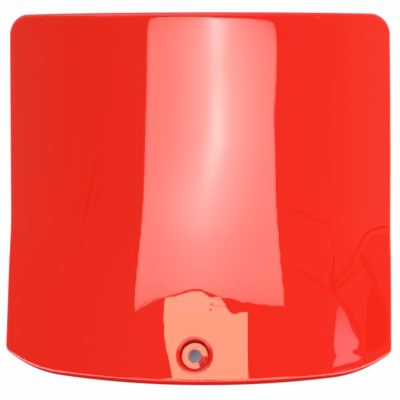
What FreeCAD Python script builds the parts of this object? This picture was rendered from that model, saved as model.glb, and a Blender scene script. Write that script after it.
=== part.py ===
import FreeCAD, Part
import math
import os

from FreeCAD import Vector

# Access cover: one moulded plastic panel, bowed about a vertical axis, with rolled edges and a return
# flange all round. Its lower edge kicks out to the front. It is held by one recessed screw near the
# bottom and by two hooks behind the top edge.
# Frame: +X right, -Y out of the front face, +Z up. Millimetres. It is modelled about the panel's mid
# height, then moved so that the origin is the centre of the screw's seat, the flat floor of the recess.

# ---------------------------------------------------------------- driving dimensions
CROWN_RADIUS = 150.0      # radius of the bow above the kick-out
FLATTEN = 0.27            # share of the bow's curvature that the kick-out takes away at most
FLATTEN_RATE = 0.30       # how soon it does so
WALL = 2.6
RETURN_DEPTH = 8.0        # depth of the return flange, measured back from the front face
EDGE_RADIUS = 2.8         # roll of the front face into the return flange

# outline, before its corners are rounded
TOP_Z = 95.0              # top edge on the centre line
TOP_RISE = 0.4            # rise of the top edge towards its corners
BOTTOM_Z = -93.4          # bottom edge on the centre line
BOTTOM_FLAT_X = 70.0      # half width of the bottom edge's middle arc
BOTTOM_FLAT_RISE = 1.75   # rise of that arc towards its ends
BOTTOM_END_R = 66.0       # tangent arcs from there up to the corners
HALF_W_TOP = 100.1
HALF_W_MID = 102.2
HALF_W_BOTTOM = 101.8
TOP_CORNER_R = 11.0
BOTTOM_CORNER_R = 4.6

# height profile of the front face: a parabola each way from KICK_START_Z
KICK_START_Z = -20.0
KICK = 15.6               # how far the bottom edge stands out
TOP_LEAN = 6.5            # how far the top edge leans forward
KICK_SOFT = 0.10          # softening of the start of both parabolas

# grid on which the front face is interpolated, wider than the outline
GRID_X0, GRID_WIDTH, GRID_COLUMNS = -119.0, 238.0, 61
GRID_Z0, GRID_HEIGHT, GRID_ROWS = -108.0, 218.0, 71

# screw recess and boss
SCREW_Z = -78.1           # height of the recess centre on the front face
SCREW_HOLE_D = 6.6        # clearance for an M6 screw
RECESS_TOP_D = 16.0
RECESS_FLOOR_D = 13.6
RECESS_DEPTH = 4.6
RECESS_RIM_R = 2.3
RECESS_OVERRUN = 4.0      # how far the recess cutter stands out of the front face
FLOOR_T = 3.0             # plastic under the screw head
BOSS_D = 21.4
BOSS_FOOT_D = 12.6        # spigot on the back of the boss
BOSS_FOOT_L = 2.4
GUSSET_T = 1.5
GUSSET_L = 9.5
GUSSET_BITE = 1.0         # how far a gusset reaches into the boss
GUSSET_COUNT = 6
GUSSET_START_ANGLE = 30.0

# hooks behind the top edge
HOOK_X = 52.0
HOOK_W = 18.0
HOOK_T = 2.4
HOOK_Z = 74.0             # underside of the shelf
HOOK_REACH = 9.0          # from the wall's inside to the back of the lip
HOOK_LIP_H = 12.5
HOOK_LIP_R = 0.9
WEB_T = HOOK_T * 0.75
WEB_H = 13.0
WEB_OVERLAP = 0.5         # how far a web reaches into the shelf

# stiffening ribs
RIB_X = 58.0
RIB_T = 1.5
RIB_H = 4.6
RIB_Z0, RIB_Z1 = -52.0, 62.0
CROSS_RIB_Z = (-18.0, 34.0)
CROSS_RIB_HALF = 58.0

# locating pegs, hollow from behind
PEG_X, PEG_Z = 95.0, -68.0
PEG_D, PEG_L = 5.0, 9.0
PEG_WALL = 1.2
PEG_BASE = 0.8            # from the wall's inside to the bottom of the bore

EXTRAS_INSET = 0.6        # keeps everything added inside the outline
FORE_Y = -40.0            # a plane in front of the whole panel

# ejector pin marks on the inside
PIN_D, PIN_DEPTH = 7.0, 0.25
PIN_CUT_L = 1.5
PIN_MARKS = (             # x, z of the centres
    (-30, 78), (30, 78), (-82, 60), (82, 60), (-82, -8),
    (82, -8), (-30, 8), (30, 8), (-40, -62), (40, -62),
)


# ---------------------------------------------------------------- front face
def soft(value):
    """max(0, value) with a soft corner."""
    return 0.5 * (value + math.sqrt(value * value + KICK_SOFT * KICK_SOFT))


def front_y(x, z):
    kick = soft((KICK_START_Z - z) / (KICK_START_Z - BOTTOM_Z))   # about 1 at the bottom edge
    lean = soft((z - KICK_START_Z) / (TOP_Z - KICK_START_Z))      # about 1 at the top edge
    radius = CROWN_RADIUS / (1.0 - FLATTEN * (1.0 - math.exp(-kick / FLATTEN_RATE)))
    bow = radius - math.sqrt(radius * radius - x * x)
    return bow - KICK * kick * kick - TOP_LEAN * lean * lean


def front_point(x, z):
    return Vector(x, front_y(x, z), z)


def outward(x, z):
    """Unit normal of the front face, pointing out of it."""
    step = 1e-3
    slope_x = (front_y(x + step, z) - front_y(x - step, z)) / (2 * step)
    slope_z = (front_y(x, z + step) - front_y(x, z - step)) / (2 * step)
    return Vector(slope_x, -1.0, slope_z).normalize()


def on_front(point, tolerance):
    return abs(point.y - front_y(point.x, point.z)) < tolerance


def block_behind_skin(inset=0.0, shift=0.0, length=150.0):
    """All behind the front face, once that is moved in along its normal by inset and back by shift."""
    grid = []
    for i in range(GRID_COLUMNS):
        x = GRID_X0 + GRID_WIDTH * i / (GRID_COLUMNS - 1)
        column = []
        for j in range(GRID_ROWS):
            z = GRID_Z0 + GRID_HEIGHT * j / (GRID_ROWS - 1)
            point = Vector(x, front_y(x, z) + shift, z)
            if inset:
                point = point - outward(x, z) * inset
            column.append(point)
        grid.append(column)
    surface = Part.BSplineSurface()
    surface.interpolate(grid)
    return surface.toShape().extrude(Vector(0, length, 0))


# ---------------------------------------------------------------- outline
def bottom_centres():
    """Centres of the bottom edge's middle arc and of the tangent arc at its right end."""
    mid_radius = (BOTTOM_FLAT_X**2 + BOTTOM_FLAT_RISE**2) / (2.0 * BOTTOM_FLAT_RISE)
    mid_centre = Vector(0, 0, BOTTOM_Z + mid_radius)
    joint = Vector(BOTTOM_FLAT_X, 0, BOTTOM_Z + BOTTOM_FLAT_RISE)
    return mid_centre, joint + (mid_centre - joint) * (BOTTOM_END_R / mid_radius)


def round_corners(prism, radius, is_corner):
    """Fillet the edges along Y whose first point passes is_corner."""
    edges = []
    for edge in prism.Edges:
        start, end = edge.Vertexes[0].Point, edge.Vertexes[-1].Point
        if abs((end - start).y) > 100 and is_corner(start):
            edges.append(edge)
    return prism.makeFillet(radius, edges)


def outline_prism(inset=0.0):
    """The outline as a prism along Y, drawn in by inset on every side."""
    y = -60.0
    half_bottom = HALF_W_BOTTOM - inset
    mid_centre, end_centre = bottom_centres()
    mid_radius = mid_centre.z - BOTTOM_Z - inset
    end_radius = BOTTOM_END_R - inset
    # angles of the arcs' ends, from straight down
    joint_angle = math.atan2(end_centre.x, mid_centre.z - end_centre.z)
    corner_angle = math.asin((half_bottom - end_centre.x) / end_radius)

    def low(centre, radius, angle, side):
        x = side * (centre.x + radius * math.sin(angle))
        return Vector(x, y, centre.z - radius * math.cos(angle))

    def low_points(side):
        """Joint, middle of the end arc, and corner."""
        return (
            low(mid_centre, mid_radius, joint_angle, side),
            low(end_centre, end_radius, 0.5 * (joint_angle + corner_angle), side),
            low(end_centre, end_radius, corner_angle, side),
        )

    top_left = Vector(-HALF_W_TOP + inset, y, TOP_Z + TOP_RISE - inset)
    top_right = Vector(HALF_W_TOP - inset, y, TOP_Z + TOP_RISE - inset)
    joint_right, end_mid_right, bottom_right = low_points(1)
    joint_left, end_mid_left, bottom_left = low_points(-1)
    arcs = (
        (top_left, Vector(0, y, TOP_Z - inset), top_right),
        (top_right, Vector(HALF_W_MID - inset, y, 0), bottom_right),
        (bottom_right, end_mid_right, joint_right),
        (joint_right, Vector(0, y, BOTTOM_Z + inset), joint_left),
        (joint_left, end_mid_left, bottom_left),
        (bottom_left, Vector(-HALF_W_MID + inset, y, 0), top_left),
    )
    wire = Part.Wire([Part.Arc(*points).toShape() for points in arcs])
    prism = Part.Face(wire).extrude(Vector(0, 200.0, 0))
    prism = round_corners(prism, TOP_CORNER_R - inset, lambda p: p.z > 0)
    return round_corners(
        prism,
        BOTTOM_CORNER_R - inset,
        lambda p: abs(abs(p.x) - half_bottom) < 1e-3 and p.z < 0,
    )


# ---------------------------------------------------------------- shell
def edge_point(edge, share):
    return edge.valueAt(edge.FirstParameter + share * (edge.LastParameter - edge.FirstParameter))


def make_shell():
    outer = block_behind_skin().common(outline_prism())
    rim = [
        edge
        for edge in outer.Edges
        if all(on_front(vertex.Point, 0.05) for vertex in edge.Vertexes)
        and on_front(edge_point(edge, 0.5), 0.05)
    ]
    outer = outer.makeFillet(EDGE_RADIUS, rim)
    inner = block_behind_skin(inset=WALL).common(outline_prism(inset=WALL))
    return outer.cut(inner).cut(block_behind_skin(shift=RETURN_DEPTH))


# ---------------------------------------------------------------- screw boss
screw_axis = outward(0.0, SCREW_Z)
screw_front = front_point(0.0, SCREW_Z)
seat = screw_front - screw_axis * RECESS_DEPTH
boss_back = seat - screw_axis * FLOOR_T

# added parts start in the middle of the wall, so that they merge with it
behind_wall = block_behind_skin(inset=WALL / 2.0, length=60.0)


def make_boss():
    """The boss and the spigot on its back."""
    length = RECESS_DEPTH + FLOOR_T + 8.0
    boss = Part.makeCylinder(BOSS_D / 2.0, length, boss_back, screw_axis).common(behind_wall)
    foot_start = boss_back - screw_axis * BOSS_FOOT_L
    foot = Part.makeCylinder(BOSS_FOOT_D / 2.0, BOSS_FOOT_L + 0.5, foot_start, screw_axis)
    return [boss, foot]


def make_gussets():
    """Gussets round the boss, drawn with Z along the screw's axis from the boss's back."""
    boss_radius = BOSS_D / 2.0
    height = FLOOR_T + RECESS_DEPTH
    # the back of each gusset slopes from the boss to the wall
    slope_profile = (     # distance from the boss's side, height
        (0.8, -1), (12.0, -1), (12.0, height), (8.2, height - 1.5), (0.8, 0.9), (0.8, -1),
    )
    slope = Part.Face(
        Part.makePolygon([Vector(boss_radius + out, -3, z) for out, z in slope_profile])
    ).extrude(Vector(0, 6, 0))
    gussets = []
    for i in range(GUSSET_COUNT):
        corner = Vector(boss_radius - GUSSET_BITE, -GUSSET_T / 2.0, 0.0)
        gusset = Part.makeBox(GUSSET_L, GUSSET_T, height, corner).cut(slope)
        angle = GUSSET_START_ANGLE + i * 360.0 / GUSSET_COUNT
        gusset.rotate(Vector(0, 0, 0), Vector(0, 0, 1), angle)
        gussets.append(gusset)
    gusset_set = Part.makeCompound(gussets)
    turn = FreeCAD.Rotation(Vector(0, 0, 1), screw_axis)
    gusset_set.Placement = FreeCAD.Placement(boss_back, turn)
    return [gusset.common(behind_wall) for gusset in gusset_set.Solids]


# ---------------------------------------------------------------- ribs, hooks and pegs
def make_ribs():
    zone = block_behind_skin(inset=WALL / 2.0, length=WALL / 2.0 + RIB_H)
    half = RIB_T / 2
    spans = [(s * RIB_X - half, s * RIB_X + half, RIB_Z0, RIB_Z1) for s in (-1, 1)]
    spans += [(-CROSS_RIB_HALF, CROSS_RIB_HALF, z - half, z + half) for z in CROSS_RIB_Z]
    return [
        Part.makeBox(x1 - x0, 120.0, z1 - z0, Vector(x0, FORE_Y, z0)).common(zone)
        for x0, x1, z0, z1 in spans
    ]


def make_hook(side):
    """A shelf behind the wall, an upright lip at its back and two webs under it."""
    x0 = side * HOOK_X - HOOK_W / 2.0
    lip_top = HOOK_Z + HOOK_LIP_H
    web_foot_y = front_y(HOOK_X, HOOK_Z) - 2.0
    back = front_y(HOOK_X + HOOK_W / 2.0, HOOK_Z) + WALL + HOOK_REACH
    shelf = Part.makeBox(HOOK_W, back - FORE_Y, HOOK_T, Vector(x0, FORE_Y, HOOK_Z))
    lip = Part.makeBox(HOOK_W, HOOK_T, HOOK_LIP_H, Vector(x0, back - HOOK_T, HOOK_Z))
    top_edges = [
        edge
        for edge in lip.Edges
        if all(abs(vertex.Point.z - lip_top) < 1e-6 for vertex in edge.Vertexes)
    ]
    parts = [shelf.common(behind_wall), lip.makeFillet(HOOK_LIP_R, top_edges)]
    web_profile = (       # y, z
        (FORE_Y, HOOK_Z + WEB_OVERLAP),
        (back, HOOK_Z + WEB_OVERLAP),
        (back, HOOK_Z),
        (web_foot_y, HOOK_Z - WEB_H),
        (FORE_Y, HOOK_Z - WEB_H),
        (FORE_Y, HOOK_Z + WEB_OVERLAP),
    )
    for web_x in (x0, x0 + HOOK_W - WEB_T):
        face = Part.Face(Part.makePolygon([Vector(web_x, y, z) for y, z in web_profile]))
        parts.append(face.extrude(Vector(WEB_T, 0, 0)).common(behind_wall))
    return parts


def make_peg(side):
    x = side * PEG_X
    inside_y = front_y(PEG_X, PEG_Z) + WALL
    back = Vector(0, 1, 0)
    peg = Part.makeCylinder(PEG_D / 2.0, inside_y + PEG_L, Vector(x, 0.0, PEG_Z), back)
    bore_start = Vector(x, inside_y + PEG_BASE, PEG_Z)
    bore = Part.makeCylinder(PEG_D / 2.0 - PEG_WALL, PEG_L, bore_start, back)
    return peg.common(behind_wall).cut(bore)


# ---------------------------------------------------------------- cuts
def cut_recess(cover):
    """The screw hole and the tapered recess with its rounded rim."""
    hole_start = boss_back - screw_axis * 8.0
    cover = cover.cut(Part.makeCylinder(SCREW_HOLE_D / 2.0, 30.0, hole_start, screw_axis))
    flare = (RECESS_TOP_D - RECESS_FLOOR_D) / 2.0 * RECESS_OVERRUN / RECESS_DEPTH
    recess = Part.makeCone(
        RECESS_FLOOR_D / 2.0,
        RECESS_TOP_D / 2.0 + flare,
        RECESS_DEPTH + RECESS_OVERRUN,
        seat,
        screw_axis,
    )
    cover = cover.cut(recess)

    def on_rim(point):
        distance = (point - screw_front).Length
        return on_front(point, 0.03) and abs(distance - RECESS_TOP_D / 2.0) < 0.6

    rim = [
        edge
        for edge in cover.Edges
        if edge.Length >= 10 and all(on_rim(edge_point(edge, k / 4.0)) for k in range(5))
    ]
    return cover.makeFillet(RECESS_RIM_R, rim)


def cut_pin_marks(cover):
    for x, z in PIN_MARKS:
        normal = outward(x, z)
        mark_floor = front_point(x, z) - normal * (WALL - PIN_DEPTH)
        start = mark_floor - normal * PIN_CUT_L
        cover = cover.cut(Part.makeCylinder(PIN_D / 2.0, PIN_CUT_L, start, normal))
    return cover


# ---------------------------------------------------------------- assembly
def make_cover():
    extras = make_boss() + make_gussets() + make_ribs()
    extras += make_hook(-1) + make_hook(1)
    extras += [make_peg(-1), make_peg(1)]
    limit = outline_prism(inset=EXTRAS_INSET)
    cover = make_shell().fuse([part.common(limit) for part in extras]).removeSplitter()
    cover = cut_pin_marks(cut_recess(cover))
    cover.translate(seat * -1.0)
    return cover


cover = make_cover()
if len(cover.Solids) != 1 or not cover.isValid():
    raise RuntimeError("the cover must be one valid solid: %d solids" % len(cover.Solids))
os.makedirs("parts", exist_ok=True)
cover.Solids[0].exportStep("parts/access_cover.step")
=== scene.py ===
import math

import bmesh
import bpy
import numpy as np
from mathutils import Matrix, Vector
from mathutils.geometry import delaunay_2d_cdt


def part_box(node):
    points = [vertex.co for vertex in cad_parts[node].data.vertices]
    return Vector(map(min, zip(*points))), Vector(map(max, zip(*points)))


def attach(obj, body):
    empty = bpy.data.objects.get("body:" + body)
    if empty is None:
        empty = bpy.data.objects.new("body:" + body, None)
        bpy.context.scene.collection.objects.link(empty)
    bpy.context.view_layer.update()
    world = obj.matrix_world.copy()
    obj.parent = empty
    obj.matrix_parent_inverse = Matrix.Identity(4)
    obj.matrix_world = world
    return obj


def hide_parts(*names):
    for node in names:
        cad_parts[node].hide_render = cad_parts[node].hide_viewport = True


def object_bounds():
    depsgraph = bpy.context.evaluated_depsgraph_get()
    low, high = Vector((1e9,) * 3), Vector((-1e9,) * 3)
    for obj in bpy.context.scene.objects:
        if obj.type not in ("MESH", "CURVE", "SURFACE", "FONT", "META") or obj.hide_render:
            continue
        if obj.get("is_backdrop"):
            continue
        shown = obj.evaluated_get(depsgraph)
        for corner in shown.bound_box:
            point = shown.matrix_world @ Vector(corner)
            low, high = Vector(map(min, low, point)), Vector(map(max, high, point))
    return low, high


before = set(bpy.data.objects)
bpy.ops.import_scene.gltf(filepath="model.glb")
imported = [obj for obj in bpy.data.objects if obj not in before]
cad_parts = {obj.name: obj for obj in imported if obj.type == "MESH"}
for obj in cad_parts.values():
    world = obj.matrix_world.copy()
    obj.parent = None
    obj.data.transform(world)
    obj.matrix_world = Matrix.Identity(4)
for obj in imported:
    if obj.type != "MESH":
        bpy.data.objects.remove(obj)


def plain(b):
    if b is None or isinstance(b, (int, float, str)):
        return b
    if isinstance(b, dict):
        return {k: plain(v) for k, v in b.items()}
    return [plain(v) for v in b]


size_at_load = plain(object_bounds())

# ------------------------------------------------------------------ dimensions, the same as the CAD part's (mm)
CROWN_RADIUS, FLATTEN, FLATTEN_RATE = 150.0, 0.27, 0.30
WALL = 2.6
RETURN_DEPTH = 8.0
EDGE_RADIUS = 2.8
TOP_Z, TOP_RISE = 95.0, 0.4
BOTTOM_Z, BOTTOM_FLAT_X, BOTTOM_FLAT_RISE, BOTTOM_END_R = -93.4, 70.0, 1.75, 66.0
HALF_W_TOP, HALF_W_MID, HALF_W_BOTTOM = 100.1, 102.2, 101.8
TOP_CORNER_R, BOTTOM_CORNER_R = 11.0, 4.6
KICK_START_Z, KICK, KICK_SOFT, TOP_LEAN = -20.0, 15.6, 0.10, 6.5
SCREW_Z, SCREW_HOLE_D = -78.1, 6.6
RECESS_TOP_D, RECESS_FLOOR_D, RECESS_DEPTH, RECESS_RIM_R = 16.0, 13.6, 4.6, 2.3
FLOOR_T, BOSS_D, BOSS_FOOT_D, BOSS_FOOT_L = 3.0, 21.4, 12.6, 2.4
GUSSET_T, GUSSET_COUNT = 1.5, 6
HOOK_X, HOOK_W, HOOK_T, HOOK_Z, HOOK_REACH, HOOK_LIP_H = 52.0, 18.0, 2.4, 74.0, 9.0, 12.5
RIB_X, RIB_T, RIB_H, RIB_Z0, RIB_Z1 = 58.0, 1.5, 4.6, -52.0, 62.0
CROSS_RIB_Z, CROSS_RIB_HALF = (-18.0, 34.0), 58.0
PEG_X, PEG_Z, PEG_D, PEG_L = 95.0, -68.0, 5.0, 9.0
PIN_D, PIN_DEPTH = 7.0, 0.25
PINS = ((-30, 78), (30, 78), (-82, 60), (82, 60), (-82, -8), (82, -8), (-30, 8), (30, 8), (-40, -62), (40, -62))


# ------------------------------------------------------------------ the front face as a height field
def soft(v):
    return 0.5 * (v + np.sqrt(v * v + KICK_SOFT * KICK_SOFT))


def front(x, z):
    x, z = np.asarray(x, float), np.asarray(z, float)
    u = soft((KICK_START_Z - z) / (KICK_START_Z - BOTTOM_Z))
    w = soft((z - KICK_START_Z) / (TOP_Z - KICK_START_Z))
    radius = CROWN_RADIUS / (1.0 - FLATTEN * (1.0 - np.exp(-u / FLATTEN_RATE)))
    return radius - np.sqrt(radius * radius - x * x) - KICK * u * u - TOP_LEAN * w * w


def unit(v):
    return v / np.linalg.norm(v, axis=-1, keepdims=True)


def normal(x, z):
    x, z = np.asarray(x, float), np.asarray(z, float)
    h = 0.02
    dx = (front(x + h, z) - front(x - h, z)) / (2 * h)
    dz = (front(x, z + h) - front(x, z - h)) / (2 * h)
    return unit(np.stack([dx, -np.ones_like(dx), dz], -1))


def point(q):
    """q (n,2) in the xz plane, lifted onto the front face."""
    return np.stack([q[:, 0], front(q[:, 0], q[:, 1]), q[:, 1]], -1)


def inset_y(x, z, d):
    """Height of the surface that lies d behind the front face, measured along its normal."""
    x, z = np.asarray(x, float), np.asarray(z, float)
    qx, qz = x.copy(), z.copy()
    for _ in range(12):
        n = normal(qx, qz)
        qx, qz = x + d * n[..., 0], z + d * n[..., 2]
    n = normal(qx, qz)
    return front(qx, qz) - d * n[..., 1]


# ------------------------------------------------------------------ outline: six shallow arcs and four corner fillets
def circle3(a, b, c):
    (ax, ay), (bx, by), (cx, cy) = a, b, c
    d = 2 * (ax * (by - cy) + bx * (cy - ay) + cx * (ay - by))
    ux = ((ax**2 + ay**2) * (by - cy) + (bx**2 + by**2) * (cy - ay) + (cx**2 + cy**2) * (ay - by)) / d
    uy = ((ax**2 + ay**2) * (cx - bx) + (bx**2 + by**2) * (ax - cx) + (cx**2 + cy**2) * (bx - ax)) / d
    return np.array([ux, uy]), math.hypot(ax - ux, ay - uy)


class Side:
    """One arc of the outline. s is +1 when the panel lies inside the arc's circle, -1 outside."""

    def __init__(self, a, m, b):
        self.a, self.b = np.array(a, float), np.array(b, float)
        self.c, self.r = circle3(a, m, b)
        self.s = 1.0 if np.dot(self.c - self.a, -np.array(m, float)) > 0 else -1.0

    def out(self, p):
        d = (p - self.c) * self.s
        return d / np.linalg.norm(d)


def outline():
    r1 = (BOTTOM_FLAT_X**2 + BOTTOM_FLAT_RISE**2) / (2 * BOTTOM_FLAT_RISE)
    c1 = np.array([0.0, BOTTOM_Z + r1])
    jr = np.array([BOTTOM_FLAT_X, BOTTOM_Z + BOTTOM_FLAT_RISE])
    c2 = jr + (c1 - jr) * (BOTTOM_END_R / r1)
    a1 = math.asin((HALF_W_BOTTOM - c2[0]) / BOTTOM_END_R)
    am = 0.5 * (math.atan2(jr[0], c1[1] - jr[1]) + a1)
    br = c2 + BOTTOM_END_R * np.array([math.sin(a1), -math.cos(a1)])
    mr = c2 + BOTTOM_END_R * np.array([math.sin(am), -math.cos(am)])
    flip = np.array([-1.0, 1.0])
    tl, tr = (-HALF_W_TOP, TOP_Z + TOP_RISE), (HALF_W_TOP, TOP_Z + TOP_RISE)
    sides = [
        Side(tl, (0, TOP_Z), tr),
        Side(tr, (HALF_W_MID, 0), br),
        Side(br, mr, jr),
        Side(jr, (0, BOTTOM_Z), flip * jr),
        Side(flip * jr, flip * mr, flip * br),
        Side(flip * br, (-HALF_W_MID, 0), tl),
    ]
    corners = []
    for i, r in enumerate((TOP_CORNER_R, BOTTOM_CORNER_R, 0.0, 0.0, BOTTOM_CORNER_R, TOP_CORNER_R)):
        s, t = sides[i], sides[(i + 1) % 6]
        if r == 0.0:  # two arcs that run on into each other
            corners.append((s.b, 0.0, s.b, s.b))
            continue
        c = s.b + (np.zeros(2) - s.b) * 0.06
        for _ in range(40):  # Newton, on the two offset circles
            f = np.array([np.linalg.norm(c - s.c) - (s.r - s.s * r), np.linalg.norm(c - t.c) - (t.r - t.s * r)])
            j = np.array([(c - s.c) / np.linalg.norm(c - s.c), (c - t.c) / np.linalg.norm(c - t.c)])
            c = c - np.linalg.solve(j, f)
        corners.append((c, r, c + r * s.out(c), c + r * t.out(c)))
    pts, nrm = [], []
    for i in range(6):
        s = sides[i]
        a, b = corners[i - 1][3], corners[i][2]
        a0 = math.atan2(*(a - s.c)[::-1])
        a1 = math.atan2(*(b - s.c)[::-1])
        da = (a1 - a0 + math.pi) % (2 * math.pi) - math.pi
        n = max(2, int(abs(da) * s.r / 1.5))
        for k in range(n):
            an = a0 + da * k / n
            p = s.c + s.r * np.array([math.cos(an), math.sin(an)])
            pts.append(p)
            nrm.append(s.out(p))
        c, r, u, v = corners[i]
        if r == 0.0:
            continue
        a0, a1 = math.atan2(*(u - c)[::-1]), math.atan2(*(v - c)[::-1])
        da = (a1 - a0 + math.pi) % (2 * math.pi) - math.pi
        n = max(8, int(abs(da) * r / 0.55))
        for k in range(n):
            an = a0 + da * k / n
            m = np.array([math.cos(an), math.sin(an)])
            pts.append(c + r * m)
            nrm.append(m)
    return np.array(pts), np.array(nrm)


# ------------------------------------------------------------------ mesh collector
class Mesh:
    """Vertices with their own normals (0,0,0 = take the face's), faces with a material index."""

    def __init__(self):
        self.v, self.n, self.f, self.m, self.count = [], [], [], [], 0

    def add(self, pts, nrm=None):
        pts = np.asarray(pts, float).reshape(-1, 3)
        nrm = np.zeros_like(pts) if nrm is None else np.asarray(nrm, float).reshape(-1, 3)
        self.v.append(pts)
        self.n.append(nrm)
        start = self.count
        self.count += len(pts)
        return np.arange(start, self.count)

    def faces(self, fs, mat):
        for f in fs:
            self.f.append(tuple(int(i) for i in f))
            self.m.append(mat)

    def strips(self, rings, mat, closed=True, flip=False):
        """rings: arrays of vertex numbers of equal length."""
        for a, b in zip(rings[:-1], rings[1:]):
            n = len(a)
            for i in range(n if closed else n - 1):
                j = (i + 1) % n
                q = (a[i], a[j], b[j], b[i])
                self.f.append(tuple(int(k) for k in (q[::-1] if flip else q)))
                self.m.append(mat)


GLOSS, INSIDE = 0, 1
mesh = Mesh()


def slerp_ring(c, n0, n1, r, k):
    """Points and normals on the arc about c from direction n0 to n1, k+1 of them."""
    dot = np.clip((n0 * n1).sum(-1), -1, 1)
    om = np.arccos(dot)
    so = np.maximum(np.sin(om), 1e-9)
    out = []
    for i in range(k + 1):
        t = i / k
        d = (np.sin((1 - t) * om) / so)[:, None] * n0 + (np.sin(t * om) / so)[:, None] * n1
        d = unit(d)
        out.append((c + r * d, d))
    return out


def inside_polygon(p, poly):
    x, y = p[:, 0], p[:, 1]
    res = np.zeros(len(p), bool)
    j = len(poly) - 1
    for i in range(len(poly)):
        xi, yi = poly[i]
        xj, yj = poly[j]
        hit = ((yi > y) != (yj > y)) & (x < (xj - xi) * (y - yi) / (yj - yi + 1e-12) + xi)
        res ^= hit
        j = i
    return res


def fill(outer_ring, holes, step, rings_extra=()):
    """Constrained triangulation of the region inside outer_ring and outside the holes.
    Returns the added points and the triangles; boundary points keep their numbers (outer, then holes, then extras)."""
    pts = [outer_ring] + list(holes) + list(rings_extra)
    edges, base = [], 0
    for r in pts:
        n = len(r)
        edges += [(base + i, base + (i + 1) % n) for i in range(n)]
        base += n
    lo, hi = outer_ring.min(0), outer_ring.max(0)
    gx = np.arange(math.floor(lo[0] / step) * step, hi[0], step)
    gz = np.arange(math.floor(lo[1] / (step * 0.87)) * step * 0.87, hi[1], step * 0.87)
    grid = np.array([(x + (0.5 * step if k % 2 else 0.0), z) for k, z in enumerate(gz) for x in gx])
    keep = inside_polygon(grid, outer_ring)
    for r in pts:
        seg = r[None, :, :]
        for s in range(0, len(grid), 4000):
            d = np.linalg.norm(grid[s : s + 4000, None, :] - seg, axis=2).min(1)
            keep[s : s + 4000] &= d > 0.55 * step
    for h in holes:
        keep &= ~inside_polygon(grid, h)
    grid = grid[keep]
    allp = np.concatenate(pts + [grid])
    v, e, f, vo, eo, fo = delaunay_2d_cdt([Vector(p) for p in allp], edges, [], 0, 1e-7)
    number = {}
    for new, olds in enumerate(vo):
        for o in olds:
            number[o] = new
    back = {}
    for old in range(len(allp)):
        if old in number and number[old] not in back:
            back[number[old]] = old
    tri = np.array([[back[i] for i in t] for t in f if all(i in back for i in t)])
    cen = allp[tri].mean(1)
    ok = inside_polygon(cen, outer_ring)
    for h in holes:
        ok &= ~inside_polygon(cen, h)
    tri = tri[ok]
    a, b, c = allp[tri[:, 0]], allp[tri[:, 1]], allp[tri[:, 2]]
    area = (b[:, 0] - a[:, 0]) * (c[:, 1] - a[:, 1]) - (b[:, 1] - a[:, 1]) * (c[:, 0] - a[:, 0])
    tri = tri[np.abs(area) > 1e-9]
    area = area[np.abs(area) > 1e-9]
    tri[area > 0] = tri[area > 0][:, ::-1]  # seen from the front (-Y) they then wind outwards
    return allp, tri


# ------------------------------------------------------------------ screw axis
face_point = np.array([0.0, float(front(0.0, SCREW_Z)), SCREW_Z])
AX = normal(0.0, SCREW_Z).reshape(3)
SEAT = face_point - AX * RECESS_DEPTH
E1 = np.array([1.0, 0.0, 0.0])
E2 = np.cross(AX, E1)


def ring_dir(phi):
    return np.cos(phi)[:, None] * E1 + np.sin(phi)[:, None] * E2


def at(rho, zeta, phi):
    """A point at radius rho and height zeta above the face point along the screw's axis."""
    return face_point + np.asarray(rho)[..., None] * ring_dir(phi) + np.asarray(zeta)[..., None] * AX


def surface_height(rho, phi):
    """Height along the axis at which the line at rho, phi meets the front face."""
    z = np.zeros_like(phi)
    for _ in range(12):
        p = at(rho, z, phi)
        g = p[:, 1] - front(p[:, 0], p[:, 2])
        p2 = at(rho, z + 0.01, phi)
        g2 = p2[:, 1] - front(p2[:, 0], p2[:, 2])
        z = z - g * 0.01 / (g2 - g)
    return z


def recess_ring(count):
    phi = -np.arange(count) * 2 * math.pi / count
    er = ring_dir(phi)
    td = (RECESS_TOP_D - RECESS_FLOOR_D) / 2.0 / RECESS_DEPTH
    dl = math.atan(td)
    wall_n = -math.cos(dl) * er + math.sin(dl) * AX
    r = RECESS_RIM_R

    def solve(zw):
        w = at(RECESS_TOP_D / 2 + zw * td, zw, phi)
        c = w - r * wall_n
        q = c[:, [0, 2]].copy()
        for _ in range(25):
            n = normal(q[:, 0], q[:, 1])
            q = c[:, [0, 2]] + r * n[:, [0, 2]]
        n = normal(q[:, 0], q[:, 1])
        return c, q, n, (front(q[:, 0], q[:, 1]) - r * n[:, 1]) - c[:, 1]

    zw = np.full(count, -r)
    for _ in range(12):
        g = solve(zw)[3]
        g2 = solve(zw + 0.01)[3]
        zw = zw - g * 0.01 / (g2 - g)
    c, q, n, _ = solve(zw)
    return phi, er, td, dl, wall_n, zw, c, q, n


# ------------------------------------------------------------------ the moulding
P, M = outline()
M3 = np.stack([M[:, 0], np.zeros(len(M)), M[:, 1]], -1)
r = EDGE_RADIUS
cxz = P - r * M
q = cxz.copy()
for _ in range(30):
    n = normal(q[:, 0], q[:, 1])
    q = cxz + r * n[:, [0, 2]]
n_q = normal(q[:, 0], q[:, 1])
centre = np.stack([cxz[:, 0], front(q[:, 0], q[:, 1]) - r * n_q[:, 1], cxz[:, 1]], -1)
edge_arcs = slerp_ring(centre, n_q, M3, r, 10)

COUNT = 96
phi, er, td, dl, wall_n, zw, rim_c, rim_q, rim_n = recess_ring(COUNT)
rim_arcs = slerp_ring(rim_c, rim_n, wall_n, RECESS_RIM_R, 12)

# front skin
allp, tri = fill(q, [rim_q], 1.6)
pts3, nn = point(allp), normal(allp[:, 0], allp[:, 1])
ids = mesh.add(pts3, nn)
mesh.faces(ids[tri], GLOSS)
ring_edge, ring_rim = ids[: len(q)], ids[len(q) : len(q) + COUNT]

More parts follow.
